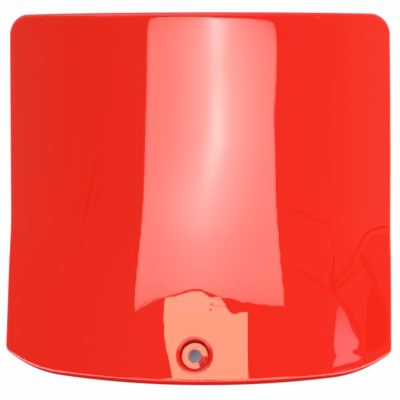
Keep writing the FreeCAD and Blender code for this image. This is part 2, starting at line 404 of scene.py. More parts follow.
# rolled edge, return flange, its free edge
rings = [ring_edge] + [mesh.add(p, d) for p, d in edge_arcs[1:]]
y_rim = front(P[:, 0], P[:, 1]) + RETURN_DEPTH
y_end = edge_arcs[-1][0][:, 1]
for f in (0.33, 0.67):
    p = np.stack([P[:, 0], y_end + (y_rim - 0.35 - y_end) * f, P[:, 1]], -1)
    rings.append(mesh.add(p, M3))
back = np.array([0.0, 1.0, 0.0])
rim_normal = unit(normal(P[:, 0], P[:, 1]) * -1.0)


def lifted(inward, dy):
    pp = P - inward * M
    return np.stack([pp[:, 0], front(pp[:, 0], pp[:, 1]) + RETURN_DEPTH + dy, pp[:, 1]], -1)


p = np.stack([P[:, 0], y_rim - 0.35, P[:, 1]], -1)
rings.append(mesh.add(p, M3))
rings.append(mesh.add(lifted(0.08, -0.08), unit(M3 + rim_normal)))
rings.append(mesh.add(lifted(0.32, 0.0), rim_normal))
mesh.strips(rings, GLOSS, flip=True)
rim_out = rings[-1]
rings = [rim_out, mesh.add(lifted(WALL - 0.32, 0.0), rim_normal)]
rings.append(mesh.add(lifted(WALL - 0.08, -0.08), unit(rim_normal - M3)))
Pi = P - WALL * M
y_in_rim = front(Pi[:, 0], Pi[:, 1]) + RETURN_DEPTH - 0.35
rings.append(mesh.add(np.stack([Pi[:, 0], y_in_rim, Pi[:, 1]], -1), -M3))

# inside corner between the flange and the inner face of the wall
rf = 0.8
cxz = Pi - rf * M
q = cxz.copy()
for _ in range(30):
    n = normal(q[:, 0], q[:, 1])
    q = cxz + (WALL + rf) * n[:, [0, 2]]
n_i = normal(q[:, 0], q[:, 1])
c_in = point(q) - (WALL + rf) * n_i
inner_arcs = slerp_ring(c_in, M3, n_i, rf, 4)
for p, d in inner_arcs[:-1]:
    rings.append(mesh.add(p, -d))
q_inner = q

# inner face, with the ejector pins' shallow marks and a hidden opening under the boss
hole_phi = -np.arange(48) * 2 * math.pi / 48
hr = BOSS_D / 2 - 1.2
hole = at(hr, surface_height(hr, hole_phi) - WALL, hole_phi)[:, [0, 2]]
marks = []
for px, pz in PINS:
    c0 = point(np.array([[px, pz]], float))[0]
    nn0 = normal(px, pz).reshape(3)
    a = unit(np.cross(nn0, np.array([0.0, 0.0, 1.0])))
    b = np.cross(nn0, a)
    an = -np.arange(28) * 2 * math.pi / 28
    for rad in (PIN_D / 2, PIN_D / 2 - 0.12):
        c3 = c0 + rad * (np.cos(an)[:, None] * a + np.sin(an)[:, None] * b)
        marks.append(c3[:, [0, 2]])
allp, tri = fill(q_inner, [hole], 2.6, marks)
depth = np.full(len(allp), WALL)
tri_cen = allp[tri].mean(1)
base = len(q_inner) + len(hole)
for k in range(0, len(marks), 2):
    inner_ring = marks[k + 1]
    depth[inside_polygon(allp, inner_ring)] = WALL - PIN_DEPTH
    s = base + (k + 1) * 28
    depth[s : s + 28] = WALL - PIN_DEPTH
nn = normal(allp[:, 0], allp[:, 1])
pts3 = point(allp) - depth[:, None] * nn
ids = mesh.add(pts3, -nn)
mesh.faces(ids[tri][:, ::-1], INSIDE)
rings.append(ids[: len(q_inner)])
mesh.strips(rings, INSIDE, flip=True)

# recess: rounded mouth, tapered wall, floor, screw hole, foot and boss
rings = [ring_rim] + [mesh.add(p, d) for p, d in rim_arcs[1:]]
rfl = 0.5
zf = -RECESS_DEPTH + rfl - rfl * math.sin(dl)
for k in (0.33, 0.67, 1.0):
    zz = zw + (zf - zw) * k
    rings.append(mesh.add(at(RECESS_TOP_D / 2 + zz * td, zz, phi), wall_n))
cf = at(np.full(COUNT, RECESS_TOP_D / 2 + zf * td), np.full(COUNT, zf), phi) + rfl * wall_n
for p, d in slerp_ring(cf, -wall_n, -np.repeat(AX[None], COUNT, 0), rfl, 4)[1:]:
    rings.append(mesh.add(p, -d))
ax_n = np.repeat(AX[None], COUNT, 0)
one = np.ones(COUNT)
hr0 = SCREW_HOLE_D / 2
zfloor = -RECESS_DEPTH
r_fl = np.linalg.norm((cf - face_point) - ((cf - face_point) @ AX)[:, None] * AX, axis=1)
for k in np.linspace(0.04, 0.98, 26):
    rad = r_fl + (hr0 + 0.35 - r_fl) * k
    p = at(rad, zfloor * one, phi)
    rel = p - SEAT
    side, up_ = rel @ E1, rel @ E2 * (1.0 if E2[2] > 0 else -1.0)
    ang = np.degrees(np.arctan2(up_, side))  # 0 to the right, negative below
    sector = np.clip(1 - np.abs((ang + 32.0) / 40.0) ** 4, 0, 1)
    bright = np.exp(-(((rad - 4.55 - 0.004 * ang) / 0.10) ** 2)) + np.exp(-(((rad - 5.35 - 0.003 * ang) / 0.10) ** 2))
    tilt = 0.62 * sector * (1 - 0.92 * np.clip(bright, 0, 1))
    rings.append(mesh.add(p, unit(ax_n + tilt[:, None] * np.array([0.85, 0.0, -0.75]))))
edge_c = at((hr0 + 0.35) * one, (zfloor - 0.35) * one, phi)
for p, d in slerp_ring(edge_c, ax_n, -er, 0.35, 4):
    rings.append(mesh.add(p, d))
zback = -RECESS_DEPTH - FLOOR_T
zfoot = zback - BOSS_FOOT_L
for k in (0.5, 1.0):
    zz = (zfloor - 0.35) + (zfoot + 0.3 - (zfloor - 0.35)) * k
    rings.append(mesh.add(at(hr0 * one, zz * one, phi), -er))
mesh.strips(rings, GLOSS, flip=True)
rings = [rings[-1]]
edge_c = at((hr0 + 0.3) * one, (zfoot + 0.3) * one, phi)
for p, d in slerp_ring(edge_c, -er, -ax_n, 0.3, 3)[1:]:
    rings.append(mesh.add(p, d))
fr = BOSS_FOOT_D / 2
edge_c = at((fr - 0.3) * one, (zfoot + 0.3) * one, phi)
for p, d in slerp_ring(edge_c, -ax_n, er, 0.3, 3):
    rings.append(mesh.add(p, d))
root_c = at((fr + 0.4) * one, (zback - 0.4) * one, phi)
for p, d in slerp_ring(root_c, -er, ax_n, 0.4, 3):
    rings.append(mesh.add(p, -d))
br = BOSS_D / 2
edge_c = at((br - 0.3) * one, (zback + 0.3) * one, phi)
for p, d in slerp_ring(edge_c, -ax_n, er, 0.3, 3):
    rings.append(mesh.add(p, d))
top_h = surface_height(br, phi) - WALL / 2
rings.append(mesh.add(at(br * one, top_h, phi), er))
mesh.strips(rings, INSIDE, flip=True)


# ------------------------------------------------------------------ closed bodies set into the wall
def body(bm, bevel=0.25):
    """Bevels a closed bmesh lightly and adds it with flat-or-smooth automatic normals."""
    bmesh.ops.recalc_face_normals(bm, faces=bm.faces[:])
    if bevel:
        sharp = [e for e in bm.edges if len(e.link_faces) == 2 and e.calc_face_angle(0.0) > 0.6]
        bmesh.ops.bevel(bm, geom=sharp, offset=bevel, segments=2, profile=0.5, affect="EDGES", clamp_overlap=True)
    bmesh.ops.triangulate(bm, faces=[f for f in bm.faces if len(f.verts) > 4])
    bm.verts.ensure_lookup_table()
    ids_ = mesh.add(np.array([v.co[:] for v in bm.verts]))
    for f in bm.faces:
        mesh.faces([[ids_[v.index] for v in f.verts]], INSIDE)
    bm.free()


def loft(sections):
    """A closed bmesh through polygon sections (k, n, 3)."""
    bm = bmesh.new()
    rows = [[bm.verts.new(p) for p in s] for s in sections]
    n = len(rows[0])
    for a, b in zip(rows[:-1], rows[1:]):
        for i in range(n):
            j = (i + 1) % n
            bm.faces.new((a[i], a[j], b[j], b[i]))
    bm.faces.new(rows[0][::-1])
    bm.faces.new(rows[-1])
    bm.verts.index_update()
    return bm


def rib(path, across):
    """path: (k,2) points in xz along the rib; across: unit vector in xz. The section has small root fillets."""
    prof = (  # offset across, height above the wall's inner face (None = top reference), measured down from the top
        (-RIB_T / 2 - 0.6, "w", -0.35),
        (-RIB_T / 2 - 0.2, "w", 0.14),
        (-RIB_T / 2, "w", 0.6),
        (-RIB_T / 2, "t", -0.3),
        (-RIB_T / 2 + 0.09, "t", -0.09),
        (-RIB_T / 2 + 0.3, "t", 0.0),
        (RIB_T / 2 - 0.3, "t", 0.0),
        (RIB_T / 2 - 0.09, "t", -0.09),
        (RIB_T / 2, "t", -0.3),
        (RIB_T / 2, "w", 0.6),
        (RIB_T / 2 + 0.2, "w", 0.14),
        (RIB_T / 2 + 0.6, "w", -0.35),
    )
    secs = []
    for c in path:
        s = []
        for o, kind, h in prof:
            x, z = c[0] + across[0] * o, c[1] + across[1] * o
            if kind == "w":
                y = float(inset_y(x, z, WALL)) + h
            else:
                y = float(inset_y(x, z, WALL / 2)) + WALL / 2 + RIB_H + h
            s.append((x, y, z))
        secs.append(s)
    body(loft(secs), 0.0)


for s in (-1, 1):
    zz = np.linspace(RIB_Z0, RIB_Z1, 58)
    rib(np.stack([np.full(58, s * RIB_X), zz], -1), (1.0, 0.0))
for z0 in CROSS_RIB_Z:
    xx = np.linspace(-CROSS_RIB_HALF, CROSS_RIB_HALF, 80)
    rib(np.stack([xx, np.full(80, z0)], -1), (0.0, 1.0))

for s in (-1, 1):
    x0 = s * HOOK_X - HOOK_W / 2
    back_y = float(front(HOOK_X + HOOK_W / 2, HOOK_Z)) + WALL + HOOK_REACH
    y_wall = float(front(HOOK_X, HOOK_Z))
    secs = []
    for x in np.linspace(x0, x0 + HOOK_W, 10):
        top = HOOK_Z + HOOK_LIP_H
        prof = [(float(inset_y(x, HOOK_Z, WALL / 2)), HOOK_Z), (back_y, HOOK_Z)]
        for k in range(5):  # rounded tip, outer side
            a = k / 4 * math.pi / 2
            prof.append((back_y - 0.9 + 0.9 * math.cos(a), top - 0.9 + 0.9 * math.sin(a)))
        for k in range(5):
            a = math.pi / 2 + k / 4 * math.pi / 2
            prof.append((back_y - HOOK_T + 0.9 + 0.9 * math.cos(a), top - 0.9 + 0.9 * math.sin(a)))
        for k in range(4):  # root of the lip
            a = -k / 3 * math.pi / 2
            prof.append((back_y - HOOK_T - 0.6 + 0.6 * math.cos(a), HOOK_Z + HOOK_T + 0.6 + 0.6 * math.sin(a)))
        prof.append((float(inset_y(x, HOOK_Z + HOOK_T, WALL / 2)), HOOK_Z + HOOK_T))
        secs.append([(x, y, z) for y, z in prof])
    body(loft(secs), 0.2)
    wt = HOOK_T * 0.75
    for gx in (x0, x0 + HOOK_W - wt):
        secs = []
        for x in (gx, gx + wt):
            prof = [(back_y - 0.3, HOOK_Z + 0.5), (back_y - 0.05, HOOK_Z - 0.02)]
            lo = (y_wall - 2.0, HOOK_Z - 13.0)
            y_lo = max(lo[0], float(inset_y(x, HOOK_Z - 13.0, WALL / 2)))
            f = (y_lo - lo[0]) / (back_y - lo[0])
            prof.append((y_lo + 0.02, HOOK_Z - 13.0 * (1 - f)))
            for zq in np.linspace(HOOK_Z - 13.0 * (1 - f) + 0.3, HOOK_Z + 0.5, 5):
                prof.append((float(inset_y(x, zq, WALL / 2)), zq))
            secs.append([(x, y, z) for y, z in prof])
        body(loft(secs), 0.2)

turn_e2 = np.cross(AX, E1)
for i in range(GUSSET_COUNT):
    a = math.radians(30.0 + i * 360.0 / GUSSET_COUNT)
    d = math.cos(a) * E1 + math.sin(a) * turn_e2
    w = np.cross(AX, d)
    r_in, r_foot, r_out = BOSS_D / 2 - 1.0, BOSS_D / 2 + 0.8, BOSS_D / 2 + 8.2
    if d[2] < -0.9:  # the one that points down ends in the return flange
        r_out = min(r_out, (abs(BOTTOM_Z) - abs(SCREW_Z) - 1.3) / abs(d[2]))
    secs = []
    for o in (-GUSSET_T / 2, GUSSET_T / 2):
        prof = [(r_in, 0.0), (r_foot, 0.0), (r_foot, 0.9)]
        slope_end = 0.9 + (r_out - r_foot) / 7.4 * 5.2
        top = []
        for rr in np.linspace(r_out, r_in, 5):
            h = float(surface_height(rr, np.array([a]))[0]) - WALL / 2 - zback
            top.append((rr, h))
        prof.append((r_out, min(slope_end, top[0][1] - 0.2)))
        prof += top
        secs.append([tuple(face_point + rr * d + (zback + h) * AX + o * w) for rr, h in prof])
    body(loft(secs), 0.12)

for s in (-1, 1):
    y_in = float(inset_y(PEG_X, PEG_Z, WALL))
    an = -np.arange(40) * 2 * math.pi / 40
    c = np.array([s * PEG_X, 0.0, PEG_Z])
    e_r = np.stack([np.cos(an), np.zeros(40), np.sin(an)], -1)
    y_tip = float(front(PEG_X, PEG_Z)) + WALL + PEG_L
    ri = PEG_D / 2 - 1.2

    def peg_ring(rad, y):
        p = c + rad * e_r
        p[:, 1] = y
        return p

    b0 = c + PEG_D / 2 * e_r
    yb = inset_y(b0[:, 0], b0[:, 2], WALL / 2)
    rings = [mesh.add(peg_ring(PEG_D / 2, yb), e_r), mesh.add(peg_ring(PEG_D / 2, y_tip - 0.4), e_r)]
    rings.append(mesh.add(peg_ring(PEG_D / 2 - 0.12, y_tip - 0.12), unit(e_r + back)))
    rings.append(mesh.add(peg_ring(PEG_D / 2 - 0.4, y_tip), np.repeat(back[None], 40, 0)))
    rings.append(mesh.add(peg_ring(ri + 0.2, y_tip), np.repeat(back[None], 40, 0)))
    rings.append(mesh.add(peg_ring(ri, y_tip - 0.2), -e_r))
    y_bore = float(front(PEG_X, PEG_Z)) + WALL + 0.8
    rings.append(mesh.add(peg_ring(ri, y_bore + 0.2), -e_r))
    rings.append(mesh.add(peg_ring(ri - 0.2, y_bore), np.repeat(back[None], 40, 0)))
    mesh.strips(rings, INSIDE, flip=True)
    mesh.faces([list(rings[-1])[::-1]], INSIDE)

# ------------------------------------------------------------------ into Blender, in metres, with the origin at the screw's seat
co = (np.concatenate(mesh.v) - SEAT) * 0.001
nm = np.concatenate(mesh.n)
turned = 0
for k, f in enumerate(mesh.f):  # every face winds the way its own normals point
    want = nm[list(f)].sum(0)
    if want @ want < 1e-9:
        continue
    a, b, c = co[f[0]], co[f[1]], co[f[2]]
    g = np.cross(b - a, c - a)
    if len(f) == 4:
        g = g + np.cross(c - a, co[f[3]] - a)
    if g @ want < 0:
        mesh.f[k] = f[::-1]
        turned += 1
print("turned", turned, "faces")
me = bpy.data.meshes.new("cover_moulding")
me.from_pydata(co.tolist(), [], mesh.f)
me.polygons.foreach_set("material_index", np.array(mesh.m, np.int32))
me.polygons.foreach_set("use_smooth", np.ones(len(mesh.f), bool))
me.update()
cover = bpy.data.objects.new("cover_moulding", me)
bpy.context.scene.collection.objects.link(cover)
# painted shade in the recess and the screw bore, as one number per vertex: it darkens the base colour and the specular,
# most at the recess wall's top, less at its left, least at its bottom and right, and almost fully down the bore
rel = np.concatenate(mesh.v) - SEAT
h_ = rel @ AX
flat = rel - h_[:, None] * AX
rad_ = np.linalg.norm(flat, axis=1)
to_top = (flat @ np.cross(AX, [1.0, 0.0, 0.0]))
to_top = to_top * np.sign(np.cross(AX, [1.0, 0.0, 0.0])[2]) / np.maximum(rad_, 1e-6)
to_left = -flat[:, 0] / np.maximum(rad_, 1e-6)
on_wall = np.clip((h_ - 0.02) / 0.25, 0, 1) * np.clip((3.7 - h_) / 1.6, 0, 1) * (rad_ < 8.9) * (rad_ > 5.5)
dim = np.clip(0.26 + 0.64 * np.clip(to_top, 0, 1) ** 0.8 + 0.24 * np.clip(to_left, 0, 1), 0, 0.92)
light = me.attributes.new("painted_recess_shade", "FLOAT", "POINT")
in_bore = ((rad_ < SCREW_HOLE_D / 2 + 0.25) & (h_ < -0.2)) * 0.97
light.data.foreach_set("value", np.maximum(on_wall * dim, in_bore).astype(np.float32))
# bodies without their own normals are shaded by face angle
auto = np.linalg.norm(nm, axis=1) < 1e-6
vert_of_loop = np.zeros(len(me.loops), np.int32)
me.loops.foreach_get("vertex_index", vert_of_loop)
poly_n = np.zeros(len(me.polygons) * 3)
me.polygons.foreach_get("normal", poly_n)
poly_n = poly_n.reshape(-1, 3)
loop_total = np.zeros(len(me.polygons), np.int32)
me.polygons.foreach_get("loop_total", loop_total)
poly_of_loop = np.repeat(np.arange(len(me.polygons)), loop_total)
area = np.zeros(len(me.polygons))
me.polygons.foreach_get("area", area)
loop_n = nm[vert_of_loop]
sel = np.nonzero(auto[vert_of_loop])[0]
by_vert = {}
for li in sel:
    by_vert.setdefault(int(vert_of_loop[li]), []).append(int(li))
for lis in by_vert.values():
    ns = poly_n[poly_of_loop[lis]]
    ws = np.maximum(area[poly_of_loop[lis]], 1e-12)
    for a_, li in enumerate(lis):
        near = (ns @ ns[a_]) > 0.82
        v_ = (ns[near] * ws[near][:, None]).sum(0)
        loop_n[li] = v_ / max(np.linalg.norm(v_), 1e-12)
me.normals_split_custom_set([tuple(v) for v in loop_n])
flips = (loop_n * poly_n[poly_of_loop]).sum(1)
print("moulding: %d vertices, %d faces, %.2f%% of corners disagree with their face" % (len(co), len(mesh.f), 100 * (flips < 0).mean()))
lo, hi = co.min(0), co.max(0)
blo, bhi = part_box("access_cover")
print("visual box mm", np.round(lo * 1000, 2), np.round(hi * 1000, 2), "cad", [round(v * 1000, 2) for v in blo], [round(v * 1000, 2) for v in bhi])


# ------------------------------------------------------------------ materials
def node(nt, kind, x, y, **kw):
    n_ = nt.nodes.new(kind)
    n_.location = (x, y)
    for k, v in kw.items():
        setattr(n_, k, v)
    return n_


def plastic(name, base, rough, coat, grain):
    m = bpy.data.materials.new(name)
    m.use_nodes = True
    nt = m.node_tree
    bsdf = nt.nodes["Principled BSDF"]
    bsdf.inputs["Base Color"].default_value = (*base, 1)
    bsdf.inputs["Roughness"].default_value = rough
    bsdf.inputs["IOR"].default_value = 1.5
    bsdf.inputs["Coat Weight"].default_value = coat
    tc = node(nt, "ShaderNodeTexCoord", -1200, 0)
    noise = node(nt, "ShaderNodeTexNoise", -900, -300)
    noise.inputs["Scale"].default_value = grain[0]
    noise.inputs["Detail"].default_value = grain[1]
    nt.links.new(tc.outputs["Object"], noise.inputs["Vector"])
    # painted shade: a per-vertex attribute mixes the base colour toward a dark purple-red and turns the specular down,
    # in the recess wall and the screw bore
    at_h = node(nt, "ShaderNodeAttribute", -900, 300)
    at_h.attribute_name = "painted_recess_shade"
    shade = node(nt, "ShaderNodeMixRGB", -400, 200, blend_type="MIX")
    nt.links.new(at_h.outputs["Fac"], shade.inputs[0])
    shade.inputs[1].default_value = (*base, 1)
    shade.inputs[2].default_value = (base[0] * 0.10, base[1] * 0.15, base[2] * 0.6, 1)
    nt.links.new(shade.outputs[0], bsdf.inputs["Base Color"])
    level = node(nt, "ShaderNodeMapRange", -400, 0)
    level.inputs[3].default_value, level.inputs[4].default_value = 0.5, 0.0
    nt.links.new(at_h.outputs["Fac"], level.inputs[0])
    nt.links.new(level.outputs[0], bsdf.inputs["Specular IOR Level"])
    bump = node(nt, "ShaderNodeBump", -500, -300)
    bump.inputs["Strength"].default_value = 1.0
    bump.inputs["Distance"].default_value = grain[2]
    nt.links.new(noise.outputs["Fac"], bump.inputs["Height"])
    nt.links.new(bump.outputs["Normal"], bsdf.inputs["Normal"])
    return m


gloss = plastic("gloss_red_outer", (0.86, 0.0133, 0.0025), 0.022, 0.0, (30.0, 2.0, 0.00001))
inner = plastic("gloss_red_inner", (0.70, 0.012, 0.005), 0.38, 0.0, (900.0, 3.0, 0.00004))
me.materials.append(gloss)
me.materials.append(inner)

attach(cover, "root")
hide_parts("access_cover")

# ------------------------------------------------------------------ camera
SHIFT = -SEAT  # from the panel frame to the row frame, mm
AZ, EL, ROLL, DIST = math.radians(3.16), math.radians(5.0), math.radians(-0.07), 750.0
CX, CY, MM_PER_PX = 195.29, 200.0, 0.51
view = np.array([-math.sin(AZ) * math.cos(EL), math.cos(AZ) * math.cos(EL), -math.sin(EL)])
right = np.array([math.cos(AZ), math.sin(AZ), 0.0])
up = np.cross(right, view)
cam_r = math.cos(ROLL) * right + math.sin(ROLL) * up
cam_u = -math.sin(ROLL) * right + math.cos(ROLL) * up
cam_pos = -view * DIST
aim = unit(view + (200.0 - CX) * MM_PER_PX / DIST * cam_r - (200.0 - CY) * MM_PER_PX / DIST * cam_u)
x_ax = unit(cam_r - (cam_r @ aim) * aim)
y_ax = np.cross(x_ax, aim) * 1.0
y_ax = y_ax if y_ax[2] > 0 else -y_ax
cam = bpy.data.cameras.new("camera")
cam.sensor_width = 36.0
cam.lens = 18.0 / (200.0 * MM_PER_PX / DIST)
cam.clip_start, cam.clip_end = 0.01, 60.0
cam_ob = bpy.data.objects.new("camera", cam)
bpy.context.scene.collection.objects.link(cam_ob)
loc = (cam_pos + SHIFT) * 0.001
cam_ob.matrix_world = Matrix(
    (
        (x_ax[0], y_ax[0], -aim[0], loc[0]),
        (x_ax[1], y_ax[1], -aim[1], loc[1]),
        (x_ax[2], y_ax[2], -aim[2], loc[2]),
        (0, 0, 0, 1),
    )
)
bpy.context.scene.camera = cam_ob


# ------------------------------------------------------------------ light: cards seen only in the reflections, lamps that only light
def emission(name, strength, color=(1, 1, 1)):
    m = bpy.data.materials.new(name)
    m.use_nodes = True
    nt = m.node_tree
    nt.nodes.clear()
    out = node(nt, "ShaderNodeOutputMaterial", 300, 0)
    em = node(nt, "ShaderNodeEmission", 0, 0)
    em.inputs["Color"].default_value = (*color, 1)
    em.inputs["Strength"].default_value = strength
    nt.links.new(em.outputs[0], out.inputs[0])
    return m


def sphere_dir(azimuth, elevation):
    a, e = math.radians(azimuth), math.radians(elevation)
    return np.array([math.sin(a) * math.cos(e), -math.cos(a) * math.cos(e), math.sin(e)])


CARD_Y = -2500.0  # the plane the front cards stand in, mm in front of the panel's middle


def mirrored(px, py, sphere=None, plane=CARD_Y):
    """Where a ray of the main camera through picture point (px, py), 400 across, lands after the front face mirrors it."""
    px, py = np.asarray(px, float), np.asarray(py, float)
    d = unit(
        view
        + ((px - CX) * MM_PER_PX / DIST)[..., None] * cam_r
        - ((py - CY) * MM_PER_PX / DIST)[..., None] * cam_u
    )
    t = np.full(px.shape, DIST - 10.0)
    for _ in range(12):
        p_ = cam_pos + t[..., None] * d
        p2 = p_ + 0.5 * d
        lim = lambda v: np.clip(v, -140, 140)
        g = p_[..., 1] - front(lim(p_[..., 0]), p_[..., 2])
        g2 = p2[..., 1] - front(lim(p2[..., 0]), p2[..., 2])
        t = t - g * 0.5 / (g2 - g)
    p_ = cam_pos + t[..., None] * d
    n_ = normal(p_[..., 0], p_[..., 2])
    r_ = d - 2 * (d * n_).sum(-1, keepdims=True) * n_
    if sphere is None:
        t = (plane - p_[..., 1]) / r_[..., 1]
    else:
        b_ = (p_ * r_).sum(-1)
        t = -b_ + np.sqrt(b_ * b_ - (p_ * p_).sum(-1) + sphere**2)
    return p_ + t[..., None] * r_


def smooth(v, a, b):
    t = np.clip((v - a) / (b - a), 0, 1)
    return t * t * (3 - 2 * t)


def card(name, points_mm, tris, rgb):
    """A glowing card: points in the panel frame, triangles, and the radiance at every point."""
    mm = bpy.data.meshes.new(name)
    mm.from_pydata(((points_mm + SHIFT) * 0.001).tolist(), [], [tuple(int(i) for i in t) for t in tris])
    at_ = mm.attributes.new("glow", "FLOAT_COLOR", "POINT")
    at_.data.foreach_set("color", np.concatenate([rgb, np.ones((len(rgb), 1))], 1).astype(np.float32).ravel())
    m = bpy.data.materials.new(name + "_glow")
    m.use_nodes = True
    nt_ = m.node_tree
    nt_.nodes.clear()
    out_ = node(nt_, "ShaderNodeOutputMaterial", 300, 0)
    em = node(nt_, "ShaderNodeEmission", 0, 0)
    at_n = node(nt_, "ShaderNodeAttribute", -300, 0)
    at_n.attribute_name = "glow"
    nt_.links.new(at_n.outputs["Color"], em.inputs["Color"])
    nt_.links.new(em.outputs[0], out_.inputs[0])
    mm.materials.append(m)
    ob = bpy.data.objects.new(name, mm)
    bpy.context.scene.collection.objects.link(ob)
    ob.visible_camera = False
    ob.visible_diffuse = False
    ob.visible_shadow = False
    ob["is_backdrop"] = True
    return ob


def grid_card(name, rows, left, right, radiance, cols=60):
    """A card whose image in the front face lies between left(py) and right(py) for the given rows."""
    py = np.repeat(rows[:, None], cols, 1)
    f = np.linspace(0, 1, cols)[None, :]
    px = left(rows)[:, None] * (1 - f) + right(rows)[:, None] * f
    p_ = mirrored(px, py).reshape(-1, 3)
    n_ = len(rows)
    tris = []
    for i in range(n_ - 1):
        for j in range(cols - 1):
            a_ = i * cols + j
            tris += [(a_, a_ + 1, a_ + cols + 1), (a_, a_ + cols + 1, a_ + cols)]
    return card(name, p_, tris, radiance(px.ravel(), py.ravel()))


def poly_card(name, poly, radiance, sphere=None, step=2.0, plane=CARD_Y):
    poly = np.array(poly, float)
    dense = []
    for i in range(len(poly)):
        a_, b_ = poly[i], poly[(i + 1) % len(poly)]
        k = max(1, int(np.linalg.norm(b_ - a_) / step))
        for j in range(k):
            dense.append(a_ + (b_ - a_) * j / k)
    allp_, tri_ = fill(np.array(dense), [], step)
    return card(name, mirrored(allp_[:, 0], allp_[:, 1], sphere, plane), tri_, radiance(allp_[:, 0], allp_[:, 1]))


def curve(pairs):
    k, v = zip(*pairs)
    return lambda y: np.interp(y, k, v)


# the tall soft box in front: its picture in the panel, by height
box_left = curve(((14.5, 160), (16, 157), (17.5, 154), (19, 151.8), (21.5, 150), (26, 148.4), (34, 147.4), (60, 147), (100, 146.5), (150, 145), (200, 143.5), (230, 141), (260, 138), (290, 135), (311, 134.5)))
box_right = curve(((14.5, 255), (16.5, 262), (18, 267), (20, 270.8), (23, 273.2), (27, 275), (34, 276.6), (45, 277.5), (80, 276), (115, 273.5), (150, 275), (200, 276), (230, 278), (260, 280.5), (290, 283.5), (311, 285)))
streak_x = curve(((17, 217), (60, 216), (90, 218), (135, 218), (150, 215), (165, 212), (180, 209.5), (195, 205), (210, 202), (240, 200), (311, 198)))
hot = curve(((17, 5.5), (45, 4.2), (65, 2.8), (90, 3.9), (120, 5.2), (138, 5.2), (165, 3.4), (185, 2.0), (205, 0.9), (230, 0.3), (250, 0), (311, 0)))
broad = curve(((17, 4.4), (150, 4.8), (200, 4.2), (225, 3.4), (240, 2.3), (255, 1.7), (285, 0.9), (300, 0.6), (311, 0.4)))
base = curve(((17, 4.0), (150, 4.3), (200, 4.5), (240, 4.2), (270, 4.1), (285, 3.9), (300, 3.3), (311, 2.7)))


def box_glow(px, py):
    dx = px - streak_x(py)
    edge = smooth(px - box_left(py), 0, 2.0) * smooth(box_right(py) - px, 0, 2.0)
    wide = np.where(dx < 0, 34.0, 38.0)
    v = 1.14 * base(py) + 1.04 * broad(py) * np.exp(-((dx / wide) ** 2)) + 1.05 * hot(py) * np.exp(-((dx / 9.0) ** 2))
    v = v * (1 + 0.012 * np.sin(px * 1.9 + 0.8 * np.sin(py * 0.11)) + 0.010 * np.sin(px * 0.83 + 1.3))
    v = v * (0.70 + 0.30 * edge) * (1.0 + 0.35 * (1 - smooth(py, 17, 32)) * np.exp(-((dx / 14.0) ** 2)))
    return np.stack([v, v, v * (0.90 + 0.06 * smooth(v, 4.5, 9.0))], -1)


def jag(a_, b_, n_, amp, seed):
    """A ragged line from a_ to b_, without its last point."""
    rng = np.random.default_rng(seed)
    a_, b_ = np.array(a_, float), np.array(b_, float)
    out_ = []
    for i in range(n_):
        p_ = a_ + (b_ - a_) * i / n_
        if i:
            p_ = p_ + np.array([rng.uniform(-0.5, 0.5) * amp * 1.6, rng.uniform(-1, 1) * amp])
        out_.append(p_)
    return out_


edge_pts = [(135, 311.2), (139.5, 309.6), (137.5, 308.6), (144, 306.8), (141.5, 305.9), (149, 304.9), (146, 303.8), (152.5, 302.2), (150.5, 301.5)]
edge_pts += jag((157, 299.6), (166, 296.6), 7, 0.8, 4) + jag((166, 296.6), (190, 289.6), 14, 0.55, 5)
edge_pts += [(190, 289.4), (195, 288.8), (199, 289.4), (202.5, 289.4), (205, 291.4), (208.8, 292.4), (211, 293.4), (214.5, 294.6), (217.5, 295.6),
             (220, 297), (222, 297.2), (225, 298.2), (228, 297.7), (230, 299.0), (233, 298.4), (236, 300.4), (238.8, 300.6), (242, 302.2), (245, 302.4),
             (248, 301.8), (250, 302.2), (252, 303.0), (255, 303.7), (260, 304.6)]
edge_pts += jag((263, 304.4), (285, 306.2), 8, 0.5, 9)
rows = np.concatenate([np.linspace(14.5, 24, 14), np.linspace(26, 225, 100), np.linspace(227, 284, 50)])
wob = lambda f, k1, k2: (lambda y: f(y) + 0.28 * np.sin(np.asarray(y) * k1) + 0.18 * np.sin(np.asarray(y) * k2 + 1.0))
box_left, box_right = wob(box_left, 0.41, 1.13), wob(box_right, 0.33, 0.97)
grid_card("softbox", rows, box_left, box_right, box_glow)
low = [(box_left(284), 284.0)]
low += [(float(box_left(y)), y) for y in (290, 297, 304)] + [tuple(p_) for p_ in edge_pts] + [(284.6, 306)]
low += [(float(box_right(y)), y) for y in (302, 297, 290)] + [(float(box_right(284)), 284.0)]
poly_card("softbox_low", low, box_glow, step=1.5)

# a window's warm daylight above it
warm = jag((165.2, 298.4), (190, 292.0), 12, 0.45, 11) + [(190, 291.9), (195, 291.5), (199, 291.6), (202.5, 292.0), (205, 293.9), (208.3, 296.2), (210, 297.4),
         (214.4, 297.6), (215.6, 296.8), (219, 296.9), (222, 298.6), (221.6, 300.6), (224.4, 301.2), (222.8, 302.6), (225.8, 303.6), (225.0, 305.6),
         (227.4, 307.2), (226.8, 308.8), (230, 312.2), (231.8, 313.6), (233.8, 314.6), (236, 313.6), (237.5, 314.3), (239, 313.0), (241.2, 312.6), (244, 312.4), (247.5, 312.0)]
warm += [(247.6, 330), (247.5, 350), (248, 370), (248.4, 379.6), (172.4, 379.6), (171.6, 374), (170.2, 366), (168.6, 358), (166.6, 350), (165.4, 342), (164.2, 336), (164.3, 328), (163.6, 320), (163.9, 312), (164.4, 304)]


def warm_glow(px, py):
    k = 1.0 - 0.04 * smooth(py, 300, 330)
    return np.stack([12.0 * k, 8.5 * k, 5.6 * k + 0.5 * (1 - smooth(py, 296, 318))], -1)


poly_card("window", warm, warm_glow, step=1.5)


def dark_glow(px, py):
    return np.full((len(px), 3), 0.25)


